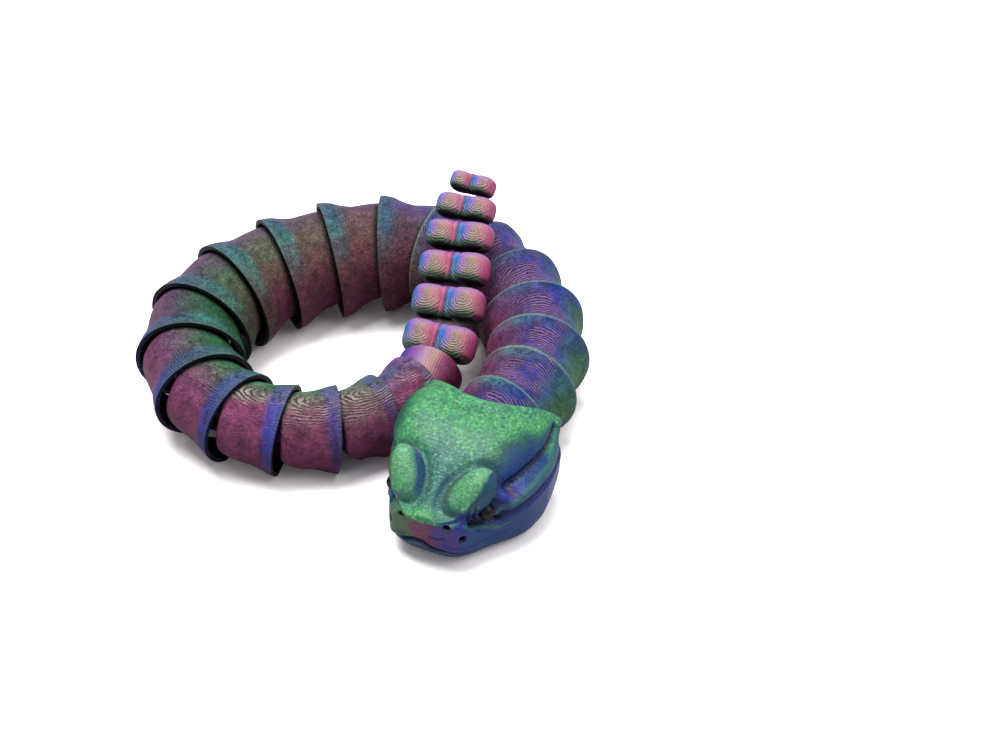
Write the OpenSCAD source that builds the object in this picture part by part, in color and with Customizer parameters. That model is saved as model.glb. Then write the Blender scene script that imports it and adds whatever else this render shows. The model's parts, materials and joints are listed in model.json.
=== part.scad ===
// Articulated rattlesnake toy, printed in place, lying in a ring with its rattle raised.
// Origin: the floor under the middle of the whole toy. +Z is up, and the head lies to the front, at -Y.
// Every piece has its own frame: X runs from its front hinge towards the tail.

/* [Body] */
// Rim radius of the first body segment, behind the head
neck_girth = 13.9; // [13.7:0.1:14.2]
// Rim radius of the widest body segment
mid_girth = 17.7; // [17.3:0.1:18.1]
// Rim radius of the last body segment
tail_girth = 11.3; // [11:0.1:11.7]
// Hinge to hinge length of the first body segment
neck_pitch = 14.3; // [14.1:0.1:14.9]
// Hinge to hinge length of the widest body segment
mid_pitch = 16.7; // [16.4:0.1:17.3]
// Hinge to hinge length of the last body segment
tail_pitch = 12.9; // [12.8:0.1:13.4]
// Wall of a segment's hood
hood_wall = 1.2; // [1:0.1:1.4]
// Depth by which the round body is cut flat along its belly
flat_cut = 1.6; // [1.5:0.1:2]
// How far a hood's rim stops ahead of the hinge behind it
rim_lead = 3; // [2.8:0.1:3.4]
// How far the widest hood's front edge reaches ahead of its hinge
nose_reach = 7.2; // [6.8:0.1:7.6]
// Angle by which a hood is tipped to lift its front edge
front_tip = 3.8; // [3.4:0.1:4.2]
// Thickness of the belly plate at the back of a hood
belly_wall = 1.2; // [1:0.1:1.6]
// Length of the flat that a hood rests on, ahead of its rim
belly_flat = 1.6; // [1.2:0.1:2]

/* [Hinge] */
// Height of the body hinges above the floor
hinge_z = 12; // [11.6:0.1:12.4]
// Diameter of a body hinge pin
pin_d = 4.4; // [4:0.1:4.6]
// Running clearance round a hinge pin
pin_gap = 0.28; // [0.22:0.02:0.34]
// Wall of the eye round a hinge pin
eye_wall = 2.1; // [1.9:0.1:2.2]
// Height of a body hinge eye
eye_height = 7; // [6:0.2:7.4]
// Clearance above and below a hinge eye
face_gap = 0.3; // [0.24:0.02:0.4]
// Thickness of the two arms that hold a hinge pin
arm_height = 2.2; // [1.8:0.1:2.4]
// Width of the tongue that carries an eye
tongue_width = 5; // [4.4:0.1:5.4]
// Width of the rib that joins arms, tongue and hood
rib_width = 6; // [5.4:0.1:6.2]
// Width of the web that hangs the rib from the top of the hood
web_width = 3.2; // [2.8:0.1:3.4]

/* [Head] */
// Length of the head ahead of its hinge
snout_reach = 34.4; // [33:0.2:36]
// Half width of the head at its jaw corners
cheek = 20.6; // [20.2:0.1:21]
// Height of the crown above the floor
crown = 27.4; // [27.2:0.1:28]
// Depth of the hollow nape between the jaw corners
nape_depth = 10.5; // [10:0.1:11]
// Wall of the head round the neck hollow
head_wall = 1.8; // [1.6:0.1:2]
// Length of one brow
brow_length = 11; // [10:0.2:12]
// Diameter of an eye
eye_d = 4.6; // [4:0.1:5]

/* [Tail cap] */
// Hinge to hinge length of the tail cap
cap_length = 9.4; // [9.4:0.1:10]
// Height of the rattle's lifting hinge above the floor
cap_z = 12.6; // [12.4:0.1:12.9]
// Angle by which the cap rises towards the rattle
cap_tip = 5; // [4:1:6]
// Rim radius of the tail cap
cap_radius = 9.4; // [9.2:0.1:9.6]

/* [Rattle] */
// Width of the first rattle button
first_width = 21.4; // [21:0.1:22]
// Width of the last rattle button
last_width = 13.6; // [13:0.1:14.4]
// Thickness of the first rattle button
first_height = 12.8; // [12.4:0.1:13.4]
// Thickness of the last rattle button
last_height = 8.8; // [8.6:0.1:9.6]
// Hinge to hinge length of the first rattle button
first_step = 11.2; // [11:0.1:11.6]
// Hinge to hinge length of the last rattle button
last_step = 6.6; // [6.5:0.1:6.8]
// Gap between two buttons
button_gap = 0.7; // [0.6:0.1:1]
// Diameter of a rattle hinge pin
small_pin_d = 3.2; // [2.8:0.1:3.4]
// Height of a rattle hinge eye
small_eye_height = 3; // [2.8:0.1:3.2]
// Wall of a rattle hinge eye
small_eye_wall = 1.4; // [1.3:0.1:1.5]

/* [Pose] */
// Direction of the snout in the plan
head_heading = -114; // [-115:1:-112]
// Lift of the rattle above the floor, in degrees
rattle_lift = 40; // [39:1:41]

/* [Hidden] */
$fn = 64;

// Rest turn of each body hinge, in degrees, from the head hinge to the last segment's
rest_bends = [-10.7, 11.8, 13.9, 18.8, 17.2, 16.4, 20.6, 26.2, 16.6, 11.4, 16.1, 23.4, 26.2, 26.2, 24.3, 23.4, 23.5, 22.9, 15.6];
// Rest turn of the tail cap on the last segment
cap_bend = 20.5;
// Rest turn of each rattle button on the one before it
button_bends = [0, 5.5, 1.5, -1.5, -4, -5];
// The head hinge in the plan
head_hinge = [33.06, -33.71];

hood_count = len(rest_bends);
button_count = len(button_bends);
fullest = (hood_count - 4) / 2;
eye_r = pin_d / 2 + pin_gap + eye_wall;
fork_top = hinge_z + eye_height / 2 + face_gap + arm_height;
turn_room = 31;
small_eye_r = small_pin_d / 2 + pin_gap + small_eye_wall;
small_ear_r = small_pin_d / 2 + small_eye_wall;

// Running total of the first n values of a list
function sum(list, n) = n <= 0 ? 0 : list[n - 1] + sum(list, n - 1);
// Rises from neck to mid over the first hoods, then eases down to tail; a larger delay keeps the neck slim longer
function swell(i, neck, mid, tail, delay) = i < fullest
    ? neck + (mid - neck) * sin(90 * pow(i / fullest, delay))
    : tail + (mid - tail) * (1 + cos(180 * (i - fullest) / (hood_count - 1 - fullest))) / 2;
function girth(i) = swell(i, neck_girth, mid_girth, tail_girth, 1.6);
function pitch(i) = swell(i, neck_pitch, mid_pitch, tail_pitch, 5);
function axis_z(i) = girth(i) - flat_cut;
function front_girth(i) = i == 0 ? 0.96 * neck_girth : girth(i - 1);
function nose(i) = nose_reach * front_girth(i) / mid_girth;
function heading(i) = head_heading + 180 + sum(rest_bends, i + 1);
function along(a) = [cos(a), sin(a)];
function hinge(i) = i == 0 ? head_hinge : hinge(i - 1) + pitch(i - 1) * along(heading(i - 1));
function mix(a, b, t) = a + (b - a) * t;
function share(k) = k / (button_count - 1);
function step(k) = mix(first_step, last_step, pow(share(k), 1.55));
function button_width(k) = k == button_count - 1 ? last_width : first_width * (1 - 0.33 * pow(share(k), 2.8));
function button_height(k) = mix(first_height, last_height, pow(share(k), 1.6));

module place(i) {
    translate([hinge(i)[0], hinge(i)[1], 0]) rotate(heading(i)) children();
}

// The neck's hoods fit more snugly under the rim ahead than the tail's
function snug(i) = mix(1.03, 1, ease(min(i / 10, 1)));
// Outer side of hood i, as points of radius over length
function hood_side(i, front, r, l) = let (f = front * snug(i)) [
    [-nose(i), 0.7 * f], [-0.92 * nose(i), 0.745 * f], [-0.72 * nose(i), 0.778 * f],
    [-0.38 * nose(i), 0.8 * f], [0, 0.812 * f], [0.22 * l, 0.822 * f], [0.34 * l, mix(0.848 * f, 0.864 * r, 0.4)],
    [0.46 * l, mix(0.878 * f, 0.91 * r, 0.6)], [0.58 * l, 0.955 * r], [0.7 * l, 0.985 * r], [l - rim_lead, r]
];
// The same points moved in by the wall, and carried on past both open ends
function hood_inside(i, f, r, l) = concat(
    [[-nose(i) - 2, 0.7 * f - hood_wall]],
    [for (p = hood_side(i, f, r, l)) [p[0], p[1] - hood_wall]],
    [[l - rim_lead + 2, r - hood_wall]]
);

module spin(points) {
    first = points[0][0];
    last = points[len(points) - 1][0];
    rotate([0, 90, 0]) rotate(180) rotate_extrude()
        polygon(concat([[0, first]], [for (p = points) [p[1], p[0]]], [[0, last]]));
}

// What is cut away under the front of a hood, ahead of the flat that ends at x
module belly_sweep(i, h, x) {
    rotate([90, 0, 0]) translate([0, 0, -30]) linear_extrude(60) polygon(concat(
        [[x, -1], [x, 0]],
        [for (t = [0.1:0.1:1]) [x - t * (x + nose(i)), h * (0.82 * pow(t, 1.35) + 0.13 * pow(t, 8))]],
        [[-nose(i) - 3, h], [-nose(i) - 3, -1]]
    ));
}

// Tip of hood i, less where the body thickens, so its front rides equally high under each hood ahead
function tip_angle(i) = i == 0
    ? front_tip / 4
    : front_tip - atan((axis_z(i) - axis_z(i - 1)) / (pitch(i) - rim_lead));
// Tips the round hood about the middle of its rim
module tip(i) {
    x = pitch(i) - rim_lead;
    translate([x, 0, axis_z(i)]) rotate([0, tip_angle(i), 0]) translate([-x, 0, 0]) children();
}

module hood_block(i) {
    h = axis_z(i);
    difference() {
        tip(i) spin(hood_side(i, front_girth(i), girth(i), pitch(i)));
        translate([-40, -40, -40]) cube([80, 80, 40]);
        belly_sweep(i, h, pitch(i) - rim_lead - girth(i) * sin(tip_angle(i)) - belly_flat);
    }
}

module hood_room(i) {
    intersection() {
        tip(i) spin(hood_inside(i, front_girth(i), girth(i), pitch(i)));
        translate([-40, -40, belly_wall]) cube([80, 80, 80]);
    }
}

// The eye of a hinge at x, on a tongue that starts at x0
module eye(x0, x, z, height, outer, bore, width) {
    difference() {
        union() {
            translate([x, 0, z - height / 2]) cylinder(h = height, r = outer);
            translate([x0, -width / 2, z - height / 2]) cube([x - x0, width, height]);
        }
        translate([x, 0, z - height]) cylinder(h = 2 * height, r = bore);
    }
}

// The two arms and the pin of a hinge at the origin
module fork(x1, z) {
    low = z - eye_height / 2 - face_gap;
    high = z + eye_height / 2 + face_gap;
    for (base = [low - arm_height, high]) {
        translate([0, 0, base]) cylinder(h = arm_height, r = eye_r - 0.3);
        translate([0, -rib_width / 2, base]) cube([x1, rib_width, arm_height]);
    }
    translate([0, 0, low - arm_height / 2]) cylinder(h = high - low + arm_height, d = pin_d);
}

// Where the web must end, so the next hood's front edge swings past it
function web_end(i) = let (n = nose(min(i + 1, hood_count - 1)), t = turn_room)
    pitch(i) - n * cos(t) - (web_width / 2 + n * sin(t)) * tan(t) - 1;

module hood(i) {
    l = pitch(i);
    rib_end = l - nose(min(i + 1, hood_count - 1)) - 1.6;
    union() {
        difference() {
            hood_block(i);
            difference() {
                hood_room(i);
                translate([rib_start, -rib_width / 2, 0]) cube([rib_end - rib_start, rib_width, fork_top]);
                translate([rib_start, -web_width / 2, 0]) cube([web_end(i) - rib_start, web_width, 60]);
            }
        }
        fork(rib_start + 1, hinge_z);
        eye(rib_end - 1, l, hinge_z, eye_height, eye_r, pin_d / 2 + pin_gap, tongue_width);
    }
}

module body_segment(i) {
    color([0.52 - 0.012 * i, 0.24, 0.48 + 0.008 * i]) place(i) hood(i);
}

// Head, lofted from the rim of its neck hollow to the snout
head_rings = 15;
room_rings = 6;
ring_points = 32;
room_reach = 9;

function ease(t) = t * t * (3 - 2 * t);
function power(v, e) = sign(v) * pow(abs(v), e);
// u runs from 0 at the nape to 1 at the snout
function head_x(u) = mix(-1, snout_reach, 1 - pow(1 - u, 1.25));
function head_half(u) = cheek * (1 - 0.02 * u - 0.46 * ease(pow(min(u / 0.95, 1), 1.4))) * pow(1 - pow(u, 16), 0.5);
function head_top(u) = mix(crown, 0.6 * crown, ease(max(u - 0.22, 0) / 0.78)) - 0.9 * pow(1 - u, 3);
function head_low(u) = 5.5 * pow(max(u - 0.62, 0) / 0.38, 3);
// Share of the half width lost below the jaw corners, where the tail lies beside the head
jaw_tuck = 0.17;
function ring_point(x, half, top, low, a, back, tuck) =
    let (
        c = power(cos(a), sin(a) > 0 ? 0.66 : 0.6),
        s = power(sin(a), sin(a) > 0 ? 0.66 : 0.6),
        mid = mix(low, top, 0.42),
        slim = 1 - tuck * ease(min(max((0.5 - sin(a)) / 0.5, 0), 1))
    )
    [x - back * pow(abs(c), 2) * (0.56 + 0.38 * s), half * c * slim, mid + s * (s > 0 ? top - mid : mid - low)];
function head_ring(u) = [for (k = [0:ring_points - 1]) ring_point(
    head_x(u), head_half(u), head_top(u), head_low(u), k * 360 / ring_points, nape_depth * pow(1 - u, 2.2),
    jaw_tuck * max(0, 1 - u / 0.3)
)];
// v runs from 0 at the mouth of the neck hollow to 1 at its end
function room_ring(v) = [for (k = [0:ring_points - 1]) ring_point(
    mix(-1, room_reach, v), (cheek - head_wall) * (1 - 0.3 * v * v), crown - 0.9 - head_wall * 0.8,
    head_wall, k * 360 / ring_points, nape_depth * (1 - v), jaw_tuck
)];
function band(a, b, n) = [for (k = [0:n - 1]) each [
    [a + k, b + k, b + (k + 1) % n], [a + k, b + (k + 1) % n, a + (k + 1) % n]
]];
function fan(a, tip, n, flip) = [for (k = [0:n - 1]) flip
    ? [tip, a + (k + 1) % n, a + k]
    : [tip, a + k, a + (k + 1) % n]];

module head_shell() {
    rows = concat(
        [for (j = [room_rings:-1:0]) room_ring(j / room_rings)],
        [for (j = [0:head_rings]) head_ring(j / head_rings * 0.985)]
    );
    count = len(rows);
    inner_tip = [room_reach + 0.6, 0, crown / 2];
    snout_tip = [snout_reach + 0.1, 0, mix(head_low(1), head_top(1), 0.5)];
    points = concat([for (row = rows) each row], [inner_tip, snout_tip]);
    faces = concat(
        fan(0, count * ring_points, ring_points, false),
        [for (j = [0:count - 2]) each band(j * ring_points, (j + 1) * ring_points, ring_points)],
        fan((count - 1) * ring_points, count * ring_points + 1, ring_points, true)
    );
    polyhedron(points = points, faces = faces, convexity = 6);
}

// Brow over each eye, from the snout back along the cheek
module brow(side) {
    x = snout_reach - 10.6;
    hull() {
        translate([x + brow_length / 2 - 0.8, side * 6.6, 17.4]) sphere(r = 2.4, $fn = 24);
        translate([x, side * 9.4, 18.4]) sphere(r = 4.1, $fn = 24);
        translate([x - brow_length / 2 + 1.2, side * 12, 19.2]) sphere(r = 2.9, $fn = 24);
    }
}

module head() {
    color([0.24, 0.55, 0.3]) translate([head_hinge[0], head_hinge[1], 0]) rotate(head_heading) {
        head_shell();
        for (side = [-1, 1]) {
            brow(side);
            translate([snout_reach - 9.4, side * 12.7, 14.3]) sphere(d = eye_d, $fn = 24);
        }
        rotate(180) eye(-room_reach - 2, 0, hinge_z, eye_height, eye_r, pin_d / 2 + pin_gap, tongue_width);
    }
}

// Tail cap, with an upright pin in front and a cross eye behind
cap_rim = cap_length - 2.8;
rib_start = eye_r + 0.5;
cap_rib_end = cap_length - small_ear_r - 0.5;
function cap_heading() = heading(hood_count - 1) + cap_bend;
function cap_side() = let (front = 0.58 * nose(hood_count)) [
    [-front, 0.67 * tail_girth], [-0.7 * front, 0.72 * tail_girth], [0, 0.76 * tail_girth],
    [0.3 * cap_length, cap_radius], [cap_rim - 0.6, cap_radius], [cap_rim, cap_radius - 0.5]
];

module place_cap() {
    start = hinge(hood_count);
    translate([start[0], start[1], 0]) rotate(cap_heading()) children();
}

module cap_shell() {
    z = axis_z(hood_count - 1) + 1.2;
    side = cap_side();
    difference() {
        translate([0, 0, z]) rotate([0, -cap_tip, 0]) spin(side);
        difference() {
            translate([0, 0, z]) rotate([0, -cap_tip, 0]) spin(concat(
                [[side[0][0] - 2, side[0][1] - hood_wall - 0.3]],
                [for (p = side) [p[0], p[1] - hood_wall]],
                [[cap_length, cap_radius - 0.5 - hood_wall]]
            ));
            translate([rib_start, -rib_width / 2, 0]) cube([cap_rib_end - rib_start, rib_width, 60]);
        }
        belly_sweep(hood_count, z, 0.74 * cap_length);
    }
}

module tail_cap() {
    color([0.45, 0.36, 0.72]) place_cap() {
        cap_shell();
        fork((rib_start + cap_rib_end) / 2, hinge_z);
        translate([0, 0, cap_z]) rotate([90, 0, 0])
            eye(rib_start + 0.4, cap_length, 0, small_eye_height, small_eye_r, small_pin_d / 2 + pin_gap, small_tongue);
    }
}

// Rattle button k: two rounded lobes side by side, split by a crease
small_tongue = 3.6;
ear_gap = 0.35;
ear_wall = 1.2;
small_room = small_eye_height / 2 + face_gap;
ear_reach = small_room + ear_wall;

module place_button(k) {
    if (k == 0) place_cap() translate([cap_length, 0, cap_z]) rotate([0, -rattle_lift, 0]) children();
    else place_button(k - 1) translate([step(k - 1), 0, 0]) rotate(button_bends[k]) children();
}

// One pillow-shaped lobe, flatter below, as a closed mesh of rings from pole to pole
lobe_rings = 10;
lobe_points = 16;
function lobe_ring(j, a, b, c) = let (p = 180 * j / lobe_rings) [for (k = [0:lobe_points - 1])
    let (q = 360 * k / lobe_points)
    [a * power(cos(q), 0.6) * power(sin(p), 0.6), b * power(sin(q), 0.6) * power(sin(p), 0.6), (cos(p) < 0 ? 0.8 : 1) * c * power(cos(p), 0.74)]
];

module lobe(a, b, c) {
    rows = [for (j = [1:lobe_rings - 1]) each lobe_ring(j, a, b, c)];
    last = (lobe_rings - 2) * lobe_points;
    count = len(rows);
    polyhedron(points = concat(rows, [[0, 0, c], [0, 0, -c]]), faces = concat(
        fan(0, count, lobe_points, true),
        [for (j = [0:lobe_rings - 3]) each band(j * lobe_points, (j + 1) * lobe_points, lobe_points)],
        fan(last, count + 1, lobe_points, false)
    ));
}

module button_lobes(k) {
    l = step(k) - button_gap;
    half = button_width(k) / 2;
    c = button_height(k) / 2;
    for (side = [-1, 1]) translate([step(k) / 2, side * (half / 2 - 0.15), 0]) lobe(l / 2, half / 2 + 0.15, c);
    translate([step(k) / 2, 0, 0]) lobe(l / 2 - 0.1, half * 0.42, c * 0.86);
}

// Room round the hinge in front, then the two ears that hold its pin
module button_front(k) {
    difference() {
        union() {
            difference() {
                children();
                translate([0, 0, -ear_reach]) cylinder(h = 2 * ear_reach, r = small_ear_r);
            }
            for (side = [-1, 1]) translate([0, 0, side > 0 ? small_room : -ear_reach]) {
                cylinder(h = ear_wall, r = small_ear_r);
                translate([0, -small_ear_r, 0]) cube([step(k) / 2, 2 * small_ear_r, ear_wall]);
            }
        }
        translate([0, 0, -small_room]) cylinder(h = 2 * small_room, r = small_eye_r + ear_gap);
    }
    translate([0, 0, -small_room - 0.6]) cylinder(h = 2 * small_room + 1.2, d = small_pin_d);
}

module button_back(k) {
    difference() {
        children();
        translate([step(k), 0, -ear_reach - face_gap]) cylinder(h = 2 * (ear_reach + face_gap), r = small_ear_r + ear_gap);
    }
    eye(step(k) / 2, step(k), 0, small_eye_height, small_eye_r, small_pin_d / 2 + pin_gap, small_tongue);
}

// The first button hangs on a cross pin, so it lifts
module first_front() {
    arm = 2.1;
    difference() {
        children();
        rotate([90, 0, 0]) translate([0, 0, -small_room]) cylinder(h = 2 * small_room, r = small_eye_r + ear_gap);
    }
    rotate([90, 0, 0]) {
        for (base = [small_room, -small_room - arm]) translate([0, 0, base]) {
            cylinder(h = arm, r = small_ear_r);
            translate([0, -small_ear_r, 0]) cube([step(0) / 2, 2 * small_ear_r, arm]);
        }
        translate([0, 0, -small_room - arm / 2]) cylinder(h = 2 * small_room + arm, d = small_pin_d);
    }
}

module rattle_button(k) {
    color([0.62 - 0.03 * k, 0.42, 0.55]) place_button(k) {
        if (k == 0) first_front() button_back(k) button_lobes(k);
        else if (k == button_count - 1) button_front(k) button_lobes(k);
        else button_front(k) button_back(k) button_lobes(k);
    }
}

head();
body_segment(0);  // body_segment_01
body_segment(1);  // body_segment_02
body_segment(2);  // body_segment_03
body_segment(3);  // body_segment_04
body_segment(4);  // body_segment_05
body_segment(5);  // body_segment_06
body_segment(6);  // body_segment_07
body_segment(7);  // body_segment_08
body_segment(8);  // body_segment_09
body_segment(9);  // body_segment_10
body_segment(10);  // body_segment_11
body_segment(11);  // body_segment_12
body_segment(12);  // body_segment_13
body_segment(13);  // body_segment_14
body_segment(14);  // body_segment_15
body_segment(15);  // body_segment_16
body_segment(16);  // body_segment_17
body_segment(17);  // body_segment_18
body_segment(18);  // body_segment_19
tail_cap();
rattle_button(0);  // rattle_button_1
rattle_button(1);  // rattle_button_2
rattle_button(2);  // rattle_button_3
rattle_button(3);  // rattle_button_4
rattle_button(4);  // rattle_button_5
rattle_button(5);  // rattle_button_6
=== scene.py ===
import bpy
import json
import math
import numpy as np
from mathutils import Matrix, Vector


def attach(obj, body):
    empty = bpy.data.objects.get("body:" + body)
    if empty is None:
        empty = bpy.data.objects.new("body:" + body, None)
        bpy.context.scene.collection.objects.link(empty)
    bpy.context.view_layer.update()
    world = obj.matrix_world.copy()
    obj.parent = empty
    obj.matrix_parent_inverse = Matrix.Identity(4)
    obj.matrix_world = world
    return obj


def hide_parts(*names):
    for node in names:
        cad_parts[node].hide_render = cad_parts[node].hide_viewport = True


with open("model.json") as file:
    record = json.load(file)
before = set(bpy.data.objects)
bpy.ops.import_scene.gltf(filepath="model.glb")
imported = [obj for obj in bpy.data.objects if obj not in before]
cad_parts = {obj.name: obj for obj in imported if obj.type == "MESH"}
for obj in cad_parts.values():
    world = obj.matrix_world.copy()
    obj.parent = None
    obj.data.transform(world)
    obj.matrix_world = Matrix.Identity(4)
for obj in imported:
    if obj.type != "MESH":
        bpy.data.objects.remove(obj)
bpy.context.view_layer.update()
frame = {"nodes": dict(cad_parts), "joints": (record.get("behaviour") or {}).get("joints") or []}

# Sizes in millimetres and angles in degrees, as in the CAD source; only BUTTON_GAP is wider than
# there, and CAP_AXIS_Z is about the middle of the cap
MM = 0.001
HEAD_HEADING = -114
HOOD_COUNT = 19
FULLEST_HOOD = 7.5
NECK_GIRTH, MIDDLE_GIRTH, TAIL_GIRTH, GIRTH_DELAY = 13.9, 17.7, 11.3, 1.6
FRONT_TIP = 3.8
RIM_LEAD = 3.0
FLAT_CUT = 1.6
BUTTON_COUNT = 6
BUTTON_GAP = 0.85
LAST_BUTTON_BEND = -5
LAST_BUTTON_LENGTH = 6.6
CAP_AXIS_Z = 11.0
JOINT_BEFORE = {j["child"]: j for j in frame["joints"]}


def hinge(name):
    """The hinge in front of a piece, in millimetres."""
    return np.array(JOINT_BEFORE[name]["pos_m"], float) / MM


def hood_name(i):
    return "body_segment_%02d" % (i + 1) if i < HOOD_COUNT else "tail_cap"


def button_name(k):
    return "rattle_button_%d" % (k + 1)


def girth(i):
    """Radius of hood i's rim: it grows from the neck to the middle, then eases down to the tail."""
    if i < FULLEST_HOOD:
        share = math.sin(math.pi / 2 * (i / FULLEST_HOOD) ** GIRTH_DELAY)
        return NECK_GIRTH + (MIDDLE_GIRTH - NECK_GIRTH) * share
    share = (1 + math.cos(math.pi * (i - FULLEST_HOOD) / (HOOD_COUNT - 1 - FULLEST_HOOD))) / 2
    return TAIL_GIRTH + (MIDDLE_GIRTH - TAIL_GIRTH) * share


def axis_z(i):
    """Height of hood i's middle over the floor; the belly is cut flat below it."""
    return girth(i) - FLAT_CUT


def hood_place(i):
    """Hinge, heading in degrees and length of hood i; one past the last hood is the tail cap."""
    start = hinge(hood_name(i))
    end = hinge(hood_name(i + 1)) if i < HOOD_COUNT else hinge(button_name(0))
    way = end - start
    return start, math.degrees(math.atan2(way[1], way[0])), math.hypot(way[0], way[1])


def button_place(k):
    """Hinge, direction, length and upward axis of rattle button k."""
    start = hinge(button_name(k))
    if k < BUTTON_COUNT - 1:
        way = hinge(button_name(k + 1)) - start
        length = float(np.linalg.norm(way))
        along = way / length
        up = np.array(JOINT_BEFORE[button_name(k + 1)]["axis"], float)
        up = up / np.linalg.norm(up) * (1 if up[2] > 0 else -1)
    else:
        before, _, up = button_place(k - 1)[1:]
        turn = math.radians(LAST_BUTTON_BEND)
        along = before * math.cos(turn) + np.cross(up, before) * math.sin(turn)
        length = LAST_BUTTON_LENGTH
    return start, along, length, up


class Nodes:
    """Builds a material's node tree. A value may be a number, a tuple or another node's output."""

    def __init__(self, name):
        self.mat = bpy.data.materials.new(name)
        self.mat.use_nodes = True
        self.tree = self.mat.node_tree
        self.tree.nodes.clear()
        self.coord = self.tree.nodes.new("ShaderNodeTexCoord")

    def put(self, socket, value):
        if isinstance(value, bpy.types.NodeSocket):
            self.tree.links.new(value, socket)
        elif isinstance(value, (tuple, list)) and len(value) == 3 and socket.type == "RGBA":
            socket.default_value = (*value, 1)
        else:
            socket.default_value = value

    def math(self, op, a, b=0.0, c=0.0):
        n = self.tree.nodes.new("ShaderNodeMath")
        n.operation = op
        for s, v in zip(n.inputs, (a, b, c)):
            self.put(s, v)
        return n.outputs[0]

    def add(self, a, b):
        return self.math("ADD", a, b)

    def mul(self, a, b):
        return self.math("MULTIPLY", a, b)

    def sub(self, a, b):
        return self.math("SUBTRACT", a, b)

    def scaled(self, v, factor, offset):
        return self.math("MULTIPLY_ADD", v, factor, offset)

    def vec(self, op, a, b=(0, 0, 0)):
        n = self.tree.nodes.new("ShaderNodeVectorMath")
        n.operation = op
        self.put(n.inputs[0], a)
        self.put(n.inputs["Scale"] if op == "SCALE" else n.inputs[1], b)
        return n.outputs[0]

    def dot(self, a, b):
        n = self.tree.nodes.new("ShaderNodeVectorMath")
        n.operation = "DOT_PRODUCT"
        self.put(n.inputs[0], a)
        self.put(n.inputs[1], b)
        return n.outputs["Value"]

    def size(self, v):
        """Length of a vector."""
        n = self.tree.nodes.new("ShaderNodeVectorMath")
        n.operation = "LENGTH"
        self.put(n.inputs[0], v)
        return n.outputs["Value"]

    def split(self, v):
        n = self.tree.nodes.new("ShaderNodeSeparateXYZ")
        self.put(n.inputs[0], v)
        return n.outputs

    def join(self, a, b, c):
        n = self.tree.nodes.new("ShaderNodeCombineXYZ")
        for s, v in zip(n.inputs, (a, b, c)):
            self.put(s, v)
        return n.outputs[0]

    def turn(self, v, degrees):
        n = self.tree.nodes.new("ShaderNodeVectorRotate")
        n.rotation_type = "Z_AXIS"
        self.put(n.inputs["Vector"], v)
        n.inputs["Angle"].default_value = math.radians(degrees)
        return n.outputs[0]

    def own_frame(self, start, heading):
        """A point's place in millimetres and its normal, turned to a hinge and its heading."""
        place = self.vec("SUBTRACT", self.coord.outputs["Object"], tuple(start * (MM, MM, 0)))
        place = self.split(self.vec("SCALE", self.turn(place, -heading), 1 / MM))
        return place, self.split(self.turn(self.coord.outputs["Normal"], -heading))

    def smooth(self, v, a, b, low=0.0, high=1.0):
        """From low at a to high at b, smooth between; a may be above b."""
        n = self.tree.nodes.new("ShaderNodeMapRange")
        n.interpolation_type = "SMOOTHSTEP"
        for s, w in zip(n.inputs, (v, a, b, low, high)):
            self.put(s, w)
        return n.outputs[0]

    def ramp(self, v, stops):
        n = self.tree.nodes.new("ShaderNodeValToRGB")
        e = n.color_ramp.elements
        while len(e) < len(stops):
            e.new(0.5)
        for el, (p, c) in zip(e, stops):
            el.position = p
            el.color = (*c, 1)
        self.put(n.inputs[0], v)
        return n.outputs[0]

    def mix(self, f, a, b, kind="MIX"):
        n = self.tree.nodes.new("ShaderNodeMix")
        n.data_type, n.blend_type = "RGBA", kind
        self.put(n.inputs[0], f)
        self.put(n.inputs[6], a)
        self.put(n.inputs[7], b)
        return n.outputs[2]

    def shade(self, color, factor):
        return self.mix(1.0, color, self.join(factor, factor, factor), "MULTIPLY")

    def noise(self, v, scale, detail=2.0, rough=0.5):
        n = self.tree.nodes.new("ShaderNodeTexNoise")
        self.put(n.inputs["Vector"], v)
        n.inputs["Scale"].default_value = scale
        n.inputs["Detail"].default_value = detail
        n.inputs["Roughness"].default_value = rough
        return n.outputs[0]

    def around(self, v, scale, detail=2.0, rough=0.5, swing=1.0):
        """Noise centred on nought."""
        return self.mul(self.sub(self.noise(v, scale, detail, rough), 0.5), swing)

    def mask(self, name):
        n = self.tree.nodes.new("ShaderNodeAttribute")
        n.attribute_name = name
        return n.outputs["Fac"]

    def bump(self, height, strength, distance, normal=None):
        n = self.tree.nodes.new("ShaderNodeBump")
        n.inputs["Strength"].default_value = strength
        n.inputs["Distance"].default_value = distance
        self.put(n.inputs["Height"], height)
        if normal is not None:
            self.put(n.inputs["Normal"], normal)
        return n.outputs[0]

    def done(self, color, rough=0.4, normal=None, spec=0.5, coat=0.0):
        b = self.tree.nodes.new("ShaderNodeBsdfPrincipled")
        self.put(b.inputs["Base Color"], color)
        self.put(b.inputs["Roughness"], rough)
        self.put(b.inputs["Specular IOR Level"], spec)
        self.put(b.inputs["Coat Weight"], coat)
        if normal is not None:
            self.put(b.inputs["Normal"], normal)
        o = self.tree.nodes.new("ShaderNodeOutputMaterial")
        self.tree.links.new(b.outputs[0], o.inputs[0])
        return self.mat


# How much brighter than its own colour a surface looks under this scene's lamps
LIGHT = 1.6


def srgb(*c):
    """The colour that looks like c, 0-255, on the screen under this scene's lamps."""
    shares = [v / 255 for v in c]
    return tuple((v / 12.92 if v <= 0.04045 else ((v + 0.055) / 1.055) ** 2.4) / LIGHT for v in shares)


def lerp(a, b, t):
    return tuple(p + (q - p) * t for p, q in zip(a, b))


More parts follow.
